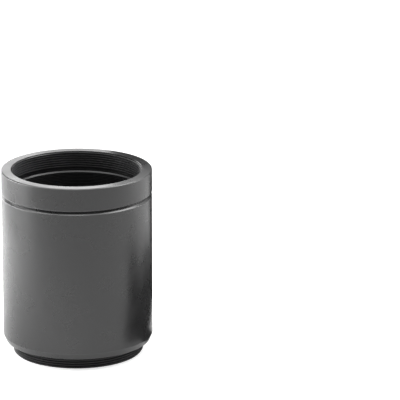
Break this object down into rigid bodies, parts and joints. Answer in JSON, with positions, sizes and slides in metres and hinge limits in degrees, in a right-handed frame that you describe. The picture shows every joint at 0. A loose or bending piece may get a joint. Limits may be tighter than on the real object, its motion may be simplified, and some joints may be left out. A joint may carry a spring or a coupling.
{
  "type": "camera teleconverter",
  "caption": "Black metal screw-mount teleconverter tube: a lens group held in a cell inside a plain barrel, with an internal mount thread in front and an external one behind.",
  "frame": {"origin": "on the optical axis at the rear end face, which the part stands on", "axes": "+Z along the optical axis from the camera side to the lens side; -Y is the side towards the viewer"},
  "size_m": [0.0482, 0.0482, 0.0605],
  "materials": {
    "barrel": "satin black anodised, finely turned",
    "front_ring": "satin black anodised, finely turned, bright at its edges",
    "rear_ring": "black anodised, threaded",
    "lens_cell": "matt black anodised",
    "slotted_rings": "black anodised",
    "shim": "rolled shim",
    "front_glass": "polished, coated",
    "inner_glass": "polished, coated",
    "rear_glass": "polished, coated",
    "stops": "flat black paint"
  },
  "bodies": {
    "root": {"barrel": "barrel", "front_ring": "front_ring", "rear_ring": "rear_ring", "lens_cell": "lens_cell", "register_shim": "shim", "lock_ring": "slotted_rings", "front_retainer": "slotted_rings", "front_element": "front_glass", "flare_stop": "stops", "second_element": "inner_glass", "third_element": "inner_glass", "element_spacer": "stops", "rear_element": "rear_glass", "rear_retainer": "slotted_rings", "baffle_sleeve": "stops", "light_mask": "stops"}
  },
  "joints": []
}
